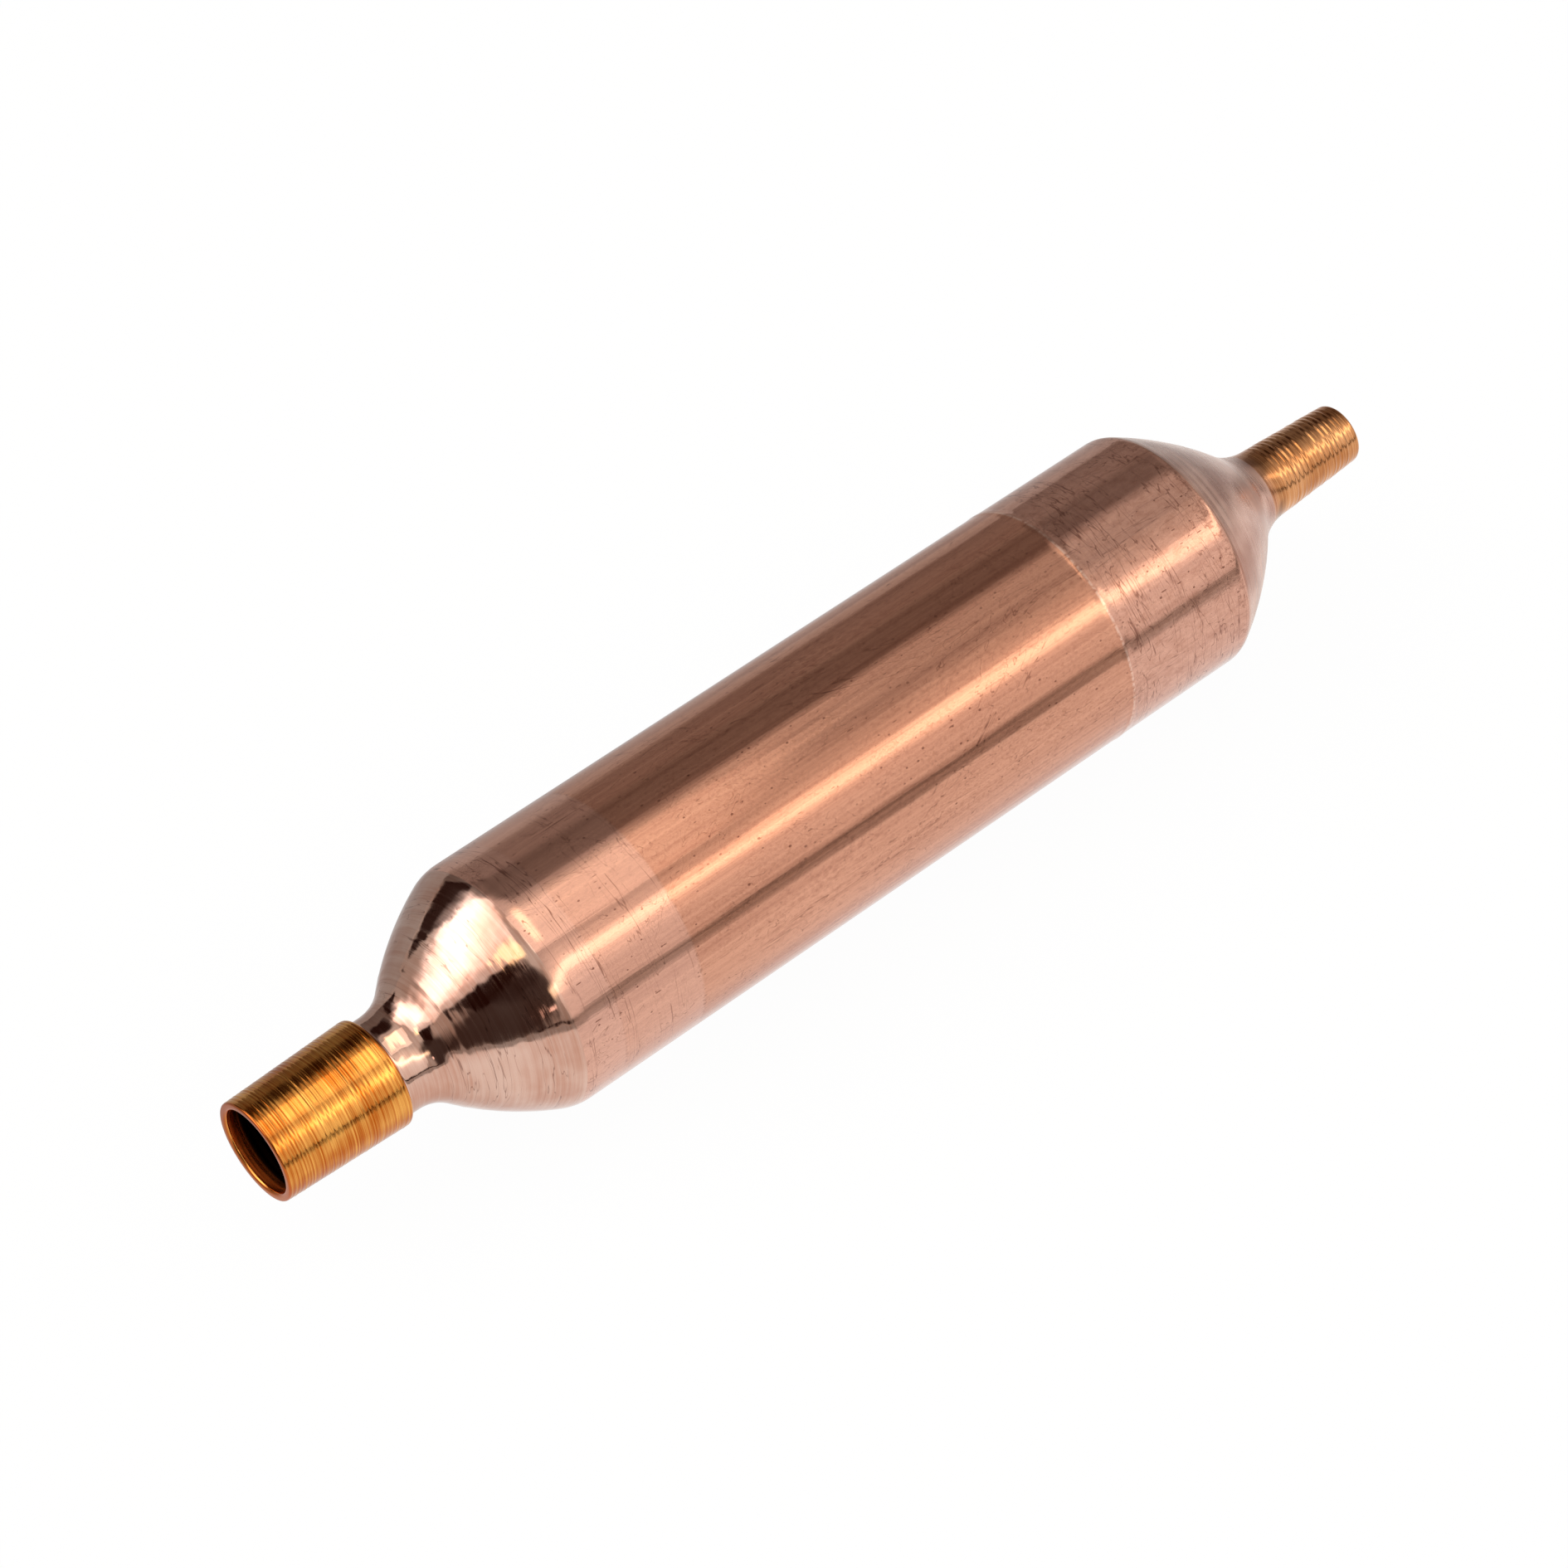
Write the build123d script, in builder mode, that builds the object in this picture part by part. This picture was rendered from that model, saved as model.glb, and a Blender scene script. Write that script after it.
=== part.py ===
from build123d import *

import os
from math import radians, tan

# Spun copper filter drier, in millimetres.
# The axis lies along X: the inlet socket is at -X, the outlet stub at +X, and the
# origin is halfway along. In a half section, Y is the distance from the axis.

# Shell: lengths along the axis
socket_length = 10.2              # turned sleeve, mouth to step
socket_depth = 9.2                # mouth to the stop that a pushed-in tube meets
inlet_end_length = 21.0           # mouth to the edge of the inlet shoulder
body_length = 61.5                # straight barrel, edge to edge
outlet_end_length = 18.5          # edge of the outlet shoulder to the tip
neck_length = 2.5                 # step to where neck and inlet dome would cross
stub_length = 10.2                # tip to where stub and outlet dome would cross

# Shell: diameters and walls
body_diameter = 19.0
body_wall = 0.75
socket_bore = 6.5                 # takes a quarter-inch tube
socket_mouth_wall = 0.6
socket_root_wall = 0.9            # the sleeve grows towards its step
neck_diameter = 7.34
neck_bore = 5.8
outlet_tip_diameter = 4.7
outlet_taper = 2.9                # degrees that the stub opens towards the dome
outlet_bore = 2.4                 # straight through, takes a capillary tube
spun_wall_gain = 0.4              # spinning thickens the domes, measured along the axis

# Shell: curves and edges
inlet_dome_bulge = 0.54           # height of each dome's arc over its chord
outlet_dome_bulge = 0.49
inlet_neck_radius = 4.0
outlet_neck_radius = 6.5
step_chamfer = 0.3
edge_chamfer = 0.12               # turned ends, deburred

# Crimp ring that the outlet hoop raises in the barrel
crimp_to_shoulder = 11.4          # ring to the edge of the outlet shoulder
crimp_width = 1.3
crimp_height = 0.09

# Hoops, one at each end of the bead charge
inlet_hoop_to_shoulder = 10.0     # bead end of the hoop to the edge of the inlet shoulder
hoop_length = 6.9
hoop_strip = 0.4
hoop_fit = 0.05                   # clearance to the barrel, each side
hoop_flange = 1.3                 # reach of the two flanges that grip a screen

# Screens: two crossed layers of flat wires, pressed into one another
inlet_wire_pitch = 2.4
inlet_wire_width = 0.7
outlet_wire_pitch = 1.9
outlet_wire_width = 0.6
wire_thickness = 0.35
wire_bite = 0.1                   # depth by which the crossed layers sink together
rim_width = 0.9                   # solid pressed rim
rim_fit = 0.05                    # clearance between a rim and its hoop, each side

# Bead charge
bead_clearance = 0.1

body_radius = body_diameter / 2
bore_radius = body_radius - body_wall
overall_length = inlet_end_length + body_length + outlet_end_length
mouth_x = -overall_length / 2
tip_x = overall_length / 2
step_x = mouth_x + socket_length
stop_x = mouth_x + socket_depth
neck_end_x = step_x + neck_length
inlet_shoulder_x = mouth_x + inlet_end_length
outlet_shoulder_x = tip_x - outlet_end_length
stub_root_x = tip_x - stub_length
crimp_x = outlet_shoulder_x - crimp_to_shoulder
neck_radius = neck_diameter / 2
tip_radius = outlet_tip_diameter / 2
stub_root_radius = tip_radius + stub_length * tan(radians(outlet_taper))


def ring_at(turned_part, x, radius):
    """The circular edge of a turned part that passes nearest to a place."""
    rings = turned_part.edges().filter_by(GeomType.CIRCLE)
    return rings.sort_by_distance((x, 0, radius))[0]


def turned(*corners):
    """A solid turned about the axis, from the corners of its half section."""
    with BuildPart() as blank:
        with BuildSketch():
            with BuildLine():
                Polyline(*corners, close=True)
            make_face()
        revolve(axis=Axis.X)
    return blank.part


# Shell: a tube spun down at both ends, hollow from the mouth to the tip
hollow = turned(
    (mouth_x, 0),
    (mouth_x, socket_bore / 2),
    (stop_x, socket_bore / 2),
    (stop_x, neck_bore / 2),
    (neck_end_x + spun_wall_gain, neck_bore / 2),
    (inlet_shoulder_x + spun_wall_gain, bore_radius),
    (outlet_shoulder_x - spun_wall_gain, bore_radius),
    (stub_root_x, outlet_bore / 2),
    (tip_x, outlet_bore / 2),
    (tip_x, 0),
)

with BuildPart() as spun_shell:
    with BuildSketch():
        with BuildLine():
            Polyline(
                (tip_x, 0),
                (mouth_x, 0),
                (mouth_x, socket_bore / 2 + socket_mouth_wall),
                (step_x, socket_bore / 2 + socket_root_wall),
                (step_x, neck_radius),
                (neck_end_x, neck_radius),
            )
            SagittaArc((neck_end_x, neck_radius), (inlet_shoulder_x, body_radius), inlet_dome_bulge)
            Line((inlet_shoulder_x, body_radius), (crimp_x - crimp_width / 2, body_radius))
            SagittaArc(
                (crimp_x - crimp_width / 2, body_radius),
                (crimp_x + crimp_width / 2, body_radius),
                crimp_height,
            )
            Line((crimp_x + crimp_width / 2, body_radius), (outlet_shoulder_x, body_radius))
            SagittaArc(
                (outlet_shoulder_x, body_radius),
                (stub_root_x, stub_root_radius),
                outlet_dome_bulge,
            )
            Polyline((stub_root_x, stub_root_radius), (tip_x, tip_radius), (tip_x, 0))
        make_face()
    revolve(axis=Axis.X)
    fillet(ring_at(spun_shell, neck_end_x, neck_radius), inlet_neck_radius)
    fillet(ring_at(spun_shell, stub_root_x, stub_root_radius), outlet_neck_radius)
    chamfer(ring_at(spun_shell, step_x, socket_bore / 2 + socket_root_wall), step_chamfer)
    chamfer(ring_at(spun_shell, mouth_x, socket_bore / 2 + socket_mouth_wall), edge_chamfer)
    chamfer(ring_at(spun_shell, tip_x, tip_radius), edge_chamfer)
    add(hollow, mode=Mode.SUBTRACT)


# Hoops: a skirt pressed into the barrel, and a channel at the bead end for a screen's rim
inlet_hoop_x = inlet_shoulder_x + inlet_hoop_to_shoulder
outlet_hoop_x = crimp_x
hoop_radius = bore_radius - hoop_fit
skirt_radius = hoop_radius - hoop_strip
flange_radius = skirt_radius - hoop_flange
screen_thickness = 2 * wire_thickness - wire_bite
channel_width = screen_thickness + 2 * rim_fit
far_flange_x = hoop_strip + channel_width


def make_hoop():
    """A hoop with its bead end at X = 0 and its skirt along +X."""
    with BuildPart() as hoop:
        with BuildSketch():
            with Locations((0, skirt_radius)):
                Rectangle(hoop_length, hoop_strip, align=(Align.MIN, Align.MIN))
            with Locations((0, flange_radius), (far_flange_x, flange_radius)):
                Rectangle(hoop_strip, hoop_flange, align=(Align.MIN, Align.MIN))
        revolve(axis=Axis.X)
    return hoop.part


with BuildPart() as inlet_hoop:
    with Locations(Location((inlet_hoop_x, 0, 0), (0, 0, 180))):
        add(make_hoop())

with BuildPart() as outlet_hoop:
    with Locations((outlet_hoop_x, 0, 0)):
        add(make_hoop())


# Screens: crossed wires that show as ridges on each face, with square gaps between them
rim_radius = skirt_radius - rim_fit
mesh_radius = rim_radius - rim_width
rim_place = hoop_strip + rim_fit


def make_screen(wire_pitch, wire_width):
    """A woven disc with its first face at X = 0 and a solid pressed rim."""
    rows = 2 * int(rim_radius / wire_pitch) + 1
    with BuildPart() as screen:
        with BuildSketch(Plane.YZ):
            Circle(rim_radius)
            Circle(mesh_radius, mode=Mode.SUBTRACT)
        extrude(amount=screen_thickness)
        with BuildSketch(Plane.YZ):
            with GridLocations(wire_pitch, 0, rows, 1):
                Rectangle(wire_width, 2 * rim_radius)
            Circle(rim_radius - rim_width / 2, mode=Mode.INTERSECT)
        extrude(amount=wire_thickness)
        with BuildSketch(Plane.YZ.offset(wire_thickness - wire_bite)):
            with GridLocations(0, wire_pitch, 1, rows):
                Rectangle(2 * rim_radius, wire_width)
            Circle(rim_radius - rim_width / 2, mode=Mode.INTERSECT)
        extrude(amount=wire_thickness)
    return screen.part


with BuildPart() as inlet_screen:
    with Locations((inlet_hoop_x - rim_place - screen_thickness, 0, 0)):
        add(make_screen(inlet_wire_pitch, inlet_wire_width))

with BuildPart() as outlet_screen:
    with Locations((outlet_hoop_x + rim_place, 0, 0)):
        add(make_screen(outlet_wire_pitch, outlet_wire_width))


# Charge of desiccant beads: fills the barrel from screen to screen, as one closed solid
charge_radius = bore_radius - bead_clearance
plug_radius = flange_radius - bead_clearance
inlet_plug_x = inlet_hoop_x - rim_place + bead_clearance
outlet_plug_x = outlet_hoop_x + rim_place - bead_clearance

with BuildPart() as desiccant_beads:
    add(
        turned(
            (inlet_plug_x, 0),
            (inlet_plug_x, plug_radius),
            (inlet_hoop_x + bead_clearance, plug_radius),
            (inlet_hoop_x + bead_clearance, charge_radius),
            (outlet_hoop_x - bead_clearance, charge_radius),
            (outlet_hoop_x - bead_clearance, plug_radius),
            (outlet_plug_x, plug_radius),
            (outlet_plug_x, 0),
        )
    )


pieces = {
    "spun_shell": spun_shell,
    "inlet_hoop": inlet_hoop,
    "inlet_screen": inlet_screen,
    "desiccant_beads": desiccant_beads,
    "outlet_screen": outlet_screen,
    "outlet_hoop": outlet_hoop,
}

os.makedirs("parts", exist_ok=True)
for name, piece in pieces.items():
    piece.part.label = name
    export_step(piece.part, f"parts/{name}.step")
    print(name, "mm3", round(piece.part.volume, 1))
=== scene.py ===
import math

import bpy
import numpy as np
from mathutils import Matrix, Vector


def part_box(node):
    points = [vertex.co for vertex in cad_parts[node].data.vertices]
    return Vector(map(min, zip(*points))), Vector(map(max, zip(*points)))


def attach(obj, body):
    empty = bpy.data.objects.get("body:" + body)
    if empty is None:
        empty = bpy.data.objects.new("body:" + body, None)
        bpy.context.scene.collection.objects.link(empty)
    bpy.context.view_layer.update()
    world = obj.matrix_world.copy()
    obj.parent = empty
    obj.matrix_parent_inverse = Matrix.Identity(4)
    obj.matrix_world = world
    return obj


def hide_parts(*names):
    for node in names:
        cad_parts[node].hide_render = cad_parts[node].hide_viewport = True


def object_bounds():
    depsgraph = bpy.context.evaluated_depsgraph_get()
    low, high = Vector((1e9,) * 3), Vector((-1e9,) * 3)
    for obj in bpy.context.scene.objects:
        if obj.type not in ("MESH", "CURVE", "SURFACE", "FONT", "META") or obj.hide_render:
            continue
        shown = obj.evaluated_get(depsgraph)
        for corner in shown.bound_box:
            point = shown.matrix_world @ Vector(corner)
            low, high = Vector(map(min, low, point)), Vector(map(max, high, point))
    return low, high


# Spun copper filter drier: dressed shell, woven screens and loose beads around the fixed frame.
# Lengths in the dictionaries are millimetres, and everything built is in metres.

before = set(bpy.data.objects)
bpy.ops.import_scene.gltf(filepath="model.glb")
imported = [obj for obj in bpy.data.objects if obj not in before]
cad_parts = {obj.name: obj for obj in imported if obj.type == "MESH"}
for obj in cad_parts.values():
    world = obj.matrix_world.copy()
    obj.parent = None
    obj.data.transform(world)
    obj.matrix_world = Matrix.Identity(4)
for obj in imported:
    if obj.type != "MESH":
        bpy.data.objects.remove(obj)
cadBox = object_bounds()
mm = 0.001
shellBox = [Vector(corner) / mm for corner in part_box("spun_shell")]
mouthX = shellBox[0].x              # inlet mouth, the low end along X
tipX = shellBox[1].x                # outlet tip
print("frame loaded, shell runs from", round(mouthX, 2), "to", round(tipX, 2), "mm")


# Puts computed vertices and faces into a new smooth mesh object at the origin.
def meshPiece(name, vertices, faces):
    mesh = bpy.data.meshes.new(name)
    mesh.vertices.add(len(vertices))
    mesh.vertices.foreach_set("co", np.ascontiguousarray(vertices * mm, dtype=np.float32).ravel())
    corners = faces.shape[1]
    mesh.loops.add(faces.size)
    mesh.loops.foreach_set("vertex_index", np.ascontiguousarray(faces, dtype=np.int32).ravel())
    mesh.polygons.add(len(faces))
    mesh.polygons.foreach_set("loop_start", np.arange(len(faces), dtype=np.int32) * corners)
    mesh.polygons.foreach_set("use_smooth", np.ones(len(faces), dtype=bool))
    mesh.update(calc_edges=True)
    piece = bpy.data.objects.new(name, mesh)
    bpy.context.scene.collection.objects.link(piece)
    return piece


# Faces of a grid of rings: ring i joins ring i + 1, and both ways round close on themselves.
def closedGrid(rings, around):
    index = np.arange(rings * around).reshape(rings, around)
    nextRing = np.roll(index, -1, axis=0)
    return np.stack(
        [index, np.roll(index, -1, axis=1), np.roll(nextRing, -1, axis=1), nextRing], axis=-1
    ).reshape(-1, 4)


# Points from start to end, one every step. With a bulge they stand off the chord by the
# height of the circle's arc that has this rise over it: sqrt(R^2 - t^2) - (R - bulge).
def run(start, end, step, bulge=0.0):
    start, end = np.array(start, float), np.array(end, float)
    chord = np.linalg.norm(end - start)
    count = max(2, int(round(chord / step)) + 1)
    t = np.linspace(-chord / 2, chord / 2, count)
    points = start + (end - start) * (t / chord + 0.5)[:, None]
    if bulge:
        radius = (chord**2 / 4 + bulge**2) / (2 * bulge)
        rise = np.sqrt(radius**2 - t**2) - (radius - bulge)
        outward = np.array([start[1] - end[1], end[0] - start[0]]) / chord
        points = points + rise[:, None] * outward
    return points


# Rounds one corner of an outline: points nearer to it than reach give way to the parabola
# that leaves the outline on one side and meets it on the other, with the corner as its pull.
def eased(points, corner, reach, count):
    near = np.linalg.norm(points - np.array(corner), axis=1) < reach
    first = np.argmax(near) - 1
    last = len(near) - np.argmax(near[::-1])
    t = np.linspace(0, 1, count)[:, None]
    curve = (1 - t)**2 * points[first] + 2 * t * (1 - t) * np.array(corner) + t**2 * points[last]
    return np.concatenate([points[:first], curve, points[last + 1:]])


shell = {
    "around": 112,                  # points round the axis
    "socketLength": 10.2,
    "socketDepth": 9.2,
    "inletEnd": 21.0,               # mouth to the edge of the inlet shoulder
    "outletEnd": 18.5,
    "neckLength": 2.5,
    "stubLength": 10.2,
    "bodyWall": 0.75,
    "wallGain": 0.4,                # spinning thickens the domes, measured along the axis
    "bodyRadius": 9.5,              # radii from here to the outlet bore
    "mouthRadius": 3.85,
    "stepRadius": 4.15,
    "socketBore": 3.25,
    "neckRadius": 3.67,
    "neckBore": 2.9,
    "stubRadius": 2.87,
    "tipRadius": 2.35,
    "outletBore": 1.2,
    "inletBulge": 0.54,             # height of each dome's arc over its chord
    "outletBulge": 0.49,
    "crimpToShoulder": 11.4,
    "crimpWidth": 1.3,
    "crimpHeight": 0.036,
    "crimpPeak": 1.3,               # above 1 narrows the crest of the crimp ring
    "lipDepth": 0.33,               # how far in the rounding of the mouth may start
    # rounding of each corner: how far it reaches, and the points in its curve
    "rounding": {
        "lip": (0.22, 7), "mouth": (0.12, 5), "step": (0.32, 9), "neckRoot": (0.16, 5),
        "neckEnd": (1.5, 20), "inletEdge": (0.85, 12), "outletEdge": (0.3, 8),
        "stubRoot": (2.3, 30), "tip": (0.3, 7),
    },
    # spacing of the rings of points
    "grooveStep": 0.055,            # where tool marks are cut
    "domeStep": 0.12,
    "barrelStep": 0.8,
    "besideShoulder": 2.0,          # length of barrel beside a shoulder with a dome's spacing
    "outletBoreStep": 0.6,
    "innerDomeStep": 1.0,
    "innerBarrelStep": 6.0,
    "stopStep": 0.1,
    "socketStep": 0.25,
}
stepX = mouthX + shell["socketLength"]
stopX = mouthX + shell["socketDepth"]
neckEndX = stepX + shell["neckLength"]
inletShoulderX = mouthX + shell["inletEnd"]
outletShoulderX = tipX - shell["outletEnd"]
stubRootX = tipX - shell["stubLength"]
crimpX = outletShoulderX - shell["crimpToShoulder"]
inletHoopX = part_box("inlet_hoop")[0].x / mm
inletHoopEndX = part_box("inlet_hoop")[1].x / mm


# 1 between two places along the axis, 0 outside, easing over the width on each side.
def zone(x, low, high, width):
    rise = np.clip((x - low) / width + 0.5, 0, 1)
    fall = np.clip((high - x) / width + 0.5, 0, 1)
    return rise * rise * (3 - 2 * rise) * fall * fall * (3 - 2 * fall)


# The half section as one loop: along the outside from mouth to tip, and back inside.
def shellOutline():
    s = shell
    body, beside = s["bodyRadius"], s["besideShoulder"]
    corners = {
        "lip": (mouthX, s["socketBore"]),
        "mouth": (mouthX, s["mouthRadius"]),
        "step": (stepX, s["stepRadius"]),
        "neckRoot": (stepX, s["neckRadius"]),
        "neckEnd": (neckEndX, s["neckRadius"]),
        "inletEdge": (inletShoulderX, body),
        "outletEdge": (outletShoulderX, body),
        "stubRoot": (stubRootX, s["stubRadius"]),
        "tip": (tipX, s["tipRadius"]),
    }
    lip, mouth, step, neckRoot, neckEnd, inletEdge, outletEdge, stubRoot, tip = corners.values()
    lipStart, outletBore = (mouthX + s["lipDepth"], s["socketBore"]), (tipX, s["outletBore"])
    inletBarrel, outletBarrel = (inletShoulderX + beside, body), (outletShoulderX - beside, body)
    crimpLow, crimpHigh = (crimpX - s["crimpWidth"], body), (crimpX + s["crimpWidth"], body)
    fine, dome, long = s["grooveStep"], s["domeStep"], s["barrelStep"]
    outside = np.concatenate([
        run(lipStart, lip, fine)[1:-1],
        run(lip, mouth, fine)[:-1],
        run(mouth, step, fine)[:-1],
        run(step, neckRoot, fine)[:-1],
        run(neckRoot, neckEnd, dome)[:-1],
        run(neckEnd, inletEdge, dome, s["inletBulge"])[:-1],
        run(inletEdge, inletBarrel, dome)[:-1],
        run(inletBarrel, crimpLow, long)[:-1],
        run(crimpLow, crimpHigh, fine)[:-1],
        run(crimpHigh, outletBarrel, long)[:-1],
        run(outletBarrel, outletEdge, dome)[:-1],
        run(outletEdge, stubRoot, dome, s["outletBulge"])[:-1],
        run(stubRoot, tip, fine)[:-1],
        run(tip, outletBore, fine)[:-1],
    ])
    for name, corner in corners.items():
        outside = eased(outside, corner, *s["rounding"][name])
    gain, bore = s["wallGain"], body - s["bodyWall"]
    innerStub, innerNeck = (stubRootX, s["outletBore"]), (neckEndX + gain, s["neckBore"])
    innerOutlet, innerInlet = (outletShoulderX - gain, bore), (inletShoulderX + gain, bore)
    stopInner, stopOuter = (stopX, s["neckBore"]), (stopX, s["socketBore"])
    inside = np.concatenate([
        run(outletBore, innerStub, s["outletBoreStep"])[:-1],
        run(innerStub, innerOutlet, s["innerDomeStep"])[:-1],
        run(innerOutlet, innerInlet, s["innerBarrelStep"])[:-1],
        run(innerInlet, innerNeck, s["innerDomeStep"])[:-1],
        run(innerNeck, stopInner, s["innerDomeStep"])[:-1],
        run(stopInner, stopOuter, s["stopStep"])[:-1],
        run(stopOuter, lipStart, s["socketStep"]),
    ])
    return outside, inside


finish = {
    # feed of the lathe tool, coarser than the real one so that it shows
    "turnPitch": 0.34,              # along the inlet sleeve
    "stubPitch": 0.46,              # along the outlet stub
    "turnDepth": 0.008,
    "stubShare": 1.9,               # how much deeper the stub is cut
    "sleeveCut": (0.15, 0.4, 0.2),  # starts this far from the mouth, ends before the step, eases
    "stubCut": (1.6, 0.35, 2.4),    # the same from the stub's root to the tip
    "chatter": 0.004,               # uneven depth from turn to turn
    "chatterWaves": ((2.1, 1.3), (0.73, 0.4), (3.7, 0.0)),     # rate and phase
    "spinPitch": 0.55,              # faint rings that the roller leaves on the domes
    "spinDepth": 0.0012,
    "spinEase": 0.6,
    "spinWave": (3.1, 2.0),
    "waves": (3, 4, 5, 7, 9, 12, 16),       # round the barrel: a drawn tube is never quite round
    "waveDepth": 0.0018,
    "waveLength": 60,
    "waveEase": 2.0,
    "seed": 41,
    "ridgePlace": 4.3,              # thin ring left on the inlet dome, from the step
    "ridgeWidth": 0.12,
    "ridgeHeight": 0.02,
    "polishShort": 0.2,             # the polish ends this far before the inlet shoulder
    "satinPast": 0.6,               # the satin ends this far past the stub's root
}


# Sum of sines round the axis and along it, with whole numbers of waves round it so that it
# closes: sin(m * angle + k * x + phase) / sqrt(m), for each m, with seeded k and phase.
def tubeWaves(x, angle):
    random = np.random.default_rng(finish["seed"])
    total = np.zeros(np.broadcast(x, angle).shape)
    for turns in finish["waves"]:
        along = 2 * math.pi / finish["waveLength"] * random.uniform(-1, 1)
        total += np.sin(turns * angle + along * x + random.uniform(0, 2 * math.pi)) / math.sqrt(turns)
    return total


# What the tools left on the outside, in millimetres outwards. Both turned ends have a fine
# screw thread, sin(2 pi * (x / pitch + angle / 2 pi)), of uneven depth. The domes have the same
# at the roller's pitch. The barrel has slow waves. The ridge is a bell curve exp(-(x / w)^2),
# and the crimp ring is half of 1 + cos(pi * x / w), raised to a power.
def toolMarks(x, angle):
    f = finish
    start, short, ease = f["sleeveCut"]
    turned = zone(x, mouthX + start, stepX - short, ease)
    start, short, ease = f["stubCut"]
    turned = turned + f["stubShare"] * zone(x, stubRootX + start, tipX - short, ease)
    thread = x / np.where(x < 0, f["turnPitch"], f["stubPitch"]) + angle / (2 * math.pi)
    cut = np.sin(2 * math.pi * thread)
    uneven = sum(np.sin(thread * rate + phase) for rate, phase in f["chatterWaves"])
    marks = turned * (f["turnDepth"] * cut + f["chatter"] * uneven * cut)
    ease = f["spinEase"]
    spun = zone(x, stepX + ease / 2, inletShoulderX, ease) + zone(x, outletShoulderX, stubRootX, ease)
    spin = x / f["spinPitch"] + angle / (2 * math.pi)
    rate, phase = f["spinWave"]
    marks += spun * f["spinDepth"] * (np.sin(2 * math.pi * spin) + np.sin(spin * rate + phase))
    ease = f["waveEase"]
    barrel = zone(x, inletShoulderX - ease / 2, outletShoulderX + ease / 2, ease)
    marks += barrel * f["waveDepth"] * tubeWaves(x, angle)
    ridge = np.exp(-((x - stepX - f["ridgePlace"]) / f["ridgeWidth"])**2)
    crimp = np.cos(np.clip((x - crimpX) / (shell["crimpWidth"] / 2), -1, 1) * math.pi) * 0.5 + 0.5
    return marks + f["ridgeHeight"] * ridge + shell["crimpHeight"] * crimp**shell["crimpPeak"]


def makeShell():
    outside, inside = shellOutline()
    outline = np.concatenate([outside, inside])
    around, count = shell["around"], len(outside)
    angle = np.linspace(0, 2 * math.pi, around, endpoint=False)[None, :]
    x = np.repeat(outline[:, :1], around, axis=1)
    radius = np.repeat(outline[:, 1:], around, axis=1)
    radius[:count] += toolMarks(x[:count], angle)
    vertices = np.stack([x, radius * np.cos(angle), radius * np.sin(angle)], axis=-1)
    piece = meshPiece("spunShellDressed", vertices.reshape(-1, 3), closedGrid(len(outline), around))
    # material of each ring of faces, by its place: 0 turned, 1 polished, 2 drawn, 3 satin, 4 bore
    middle = (outline[:, 0] + np.roll(outline[:, 0], -1)) / 2
    hair = 0.001                    # so that the face of the step itself is polished
    ends = (stepX - hair, inletShoulderX - finish["polishShort"], outletShoulderX,
            stubRootX + finish["satinPast"])
    ring = np.full(len(outline), 4)
    ring[:count] = np.select([middle[:count] < end for end in ends], [0, 1, 2, 3], 0)
    piece.data.polygons.foreach_set("material_index", np.repeat(ring, around).astype(np.int32))
    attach(piece, "root")
    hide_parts("spun_shell")
    return piece


shellPiece = makeShell()
print("shell:", len(shellPiece.data.polygons) * 2, "triangles")


# sRGB hex to the linear values that sockets take.
def linear(colour):
    parts = [int(colour[i:i + 2], 16) / 255 for i in (1, 3, 5)]
    return [c / 12.92 if c <= 0.04045 else ((c + 0.055) / 1.055)**2.4 for c in parts] + [1.0]


# Adds a node of this kind with its settings, fills its inputs and hands back one output. An
# input that is given a socket is linked, and one that is given a value is set.
def node(tree, kind, inputs=None, out=0, **settings):
    made = tree.nodes.new("ShaderNode" + kind)
    for name, value in settings.items():
        setattr(made, name, value)
    for name, value in (inputs or {}).items():
        socket = made.inputs[name]
        if isinstance(value, bpy.types.NodeSocket):
            tree.links.new(value, socket)
        else:
            socket.default_value = value
    return made.outputs[out] if len(made.outputs) else None


times = {"operation": "MULTIPLY"}       # settings that many nodes share
rgba = {"data_type": "RGBA", "out": 2}
mostly = (0.3, 0.7)                     # limits that most of a cloudy pattern lies between
beyond = 2.0                            # bands that cover an end go on for this far past it


# From 0 where a value is at the first limit to 1 at the second, easing between, or from and
# to two other numbers.
def ramp(tree, value, first, last, start=0.0, end=1.0):
    inputs = {0: value, 1: first, 2: last, 3: start, 4: end}
    return node(tree, "MapRange", inputs, interpolation_type="SMOOTHSTEP")


def newMaterial(name):
    material = bpy.data.materials.new(name)
    material.use_nodes = True
    material.node_tree.nodes.clear()
    return material, material.node_tree


# Object coordinates in patches per millimetre, along the axis and across it, after a turn.
# A low rate draws the pattern out that way.
def rates(tree, along, across, turn=None):
    place = node(tree, "TexCoord", out="Object")
    if turn:
        place = node(tree, "VectorRotate", {0: place, "Rotation": turn}, rotation_type="EULER_XYZ")
    return node(tree, "VectorMath", {0: place, 1: (along / mm, across / mm, across / mm)}, **times)


# Cloudy pattern around 0.5, with this many patches per millimetre along and across.
def cloudy(tree, along, across, detail=3.0, coarse=0.5, turn=None):
    vector = rates(tree, along, across, turn)
    return node(tree, "TexNoise", {"Vector": vector, "Scale": 1.0, "Detail": detail, "Roughness": coarse})


# Sum of patterns, each times its share.
def shares(tree, *parts):
    total = 0.0
    for pattern, share in parts:
        total = node(tree, "Math", {0: pattern, 1: share, 2: total}, operation="MULTIPLY_ADD")
    return total


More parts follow.
